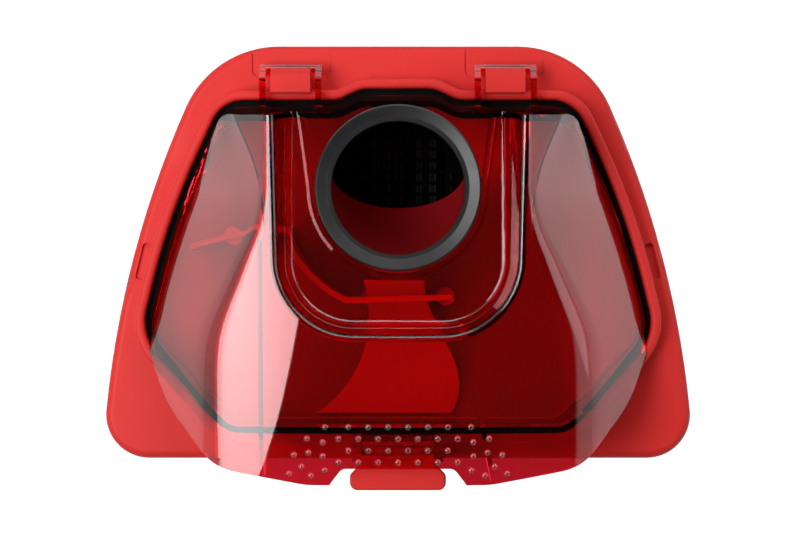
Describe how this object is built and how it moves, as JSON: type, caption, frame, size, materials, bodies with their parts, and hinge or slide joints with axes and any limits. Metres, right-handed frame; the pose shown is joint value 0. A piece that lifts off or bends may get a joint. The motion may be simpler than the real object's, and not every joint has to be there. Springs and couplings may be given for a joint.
{
  "type": "cyclone dust bin",
  "caption": "Dust bin for a cylinder vacuum cleaner: opaque red back plate with rear filter, clear red hinged cover with a round sealed inlet, grip ledge and push latch.",
  "frame": {"origin": "centre of the outline seen from the front, on the plane that the rear skirt rests on", "axes": "+X to the right, +Y towards the hinges, +Z out of the front"},
  "size_m": [0.2076, 0.154, 0.0777],
  "materials": {
    "red_plastic": "smooth moulded",
    "clear_red": "clear tinted",
    "black_rubber": "matte",
    "filter_paper": "pleated carbon paper",
    "black_plastic": "fine texture",
    "steel": "plain"
  },
  "bodies": {
    "base": {"back_plate": "red_plastic", "cover_gasket": "black_rubber", "cyclone_guide": "red_plastic", "guide_screws": "steel", "outlet_screen": "black_plastic", "filter_frame": "black_plastic", "pleated_filter": "filter_paper", "filter_seal": "black_rubber", "latch_pin": "steel", "latch_spring": "steel"},
    "cover": {"front_cover": "clear_red", "inlet_seal": "black_rubber", "inlet_scoop": "clear_red"},
    "latch": {"latch_lever": "red_plastic"}
  },
  "joints": [
    {"name": "cover_hinge", "type": "hinge", "parent": "base", "child": "cover", "pos_m": [0, 0.0679, 0.0256], "axis": [-1, 0, 0], "range_deg": [0, 105]},
    {"name": "latch_press", "type": "hinge", "parent": "base", "child": "latch", "pos_m": [0, -0.0665, 0.033], "axis": [1, 0, 0], "range_deg": [0, 8], "stiffness_Nm_per_rad": 0.2, "springref_deg": -5.73, "deforming": ["latch_spring"]}
  ]
}
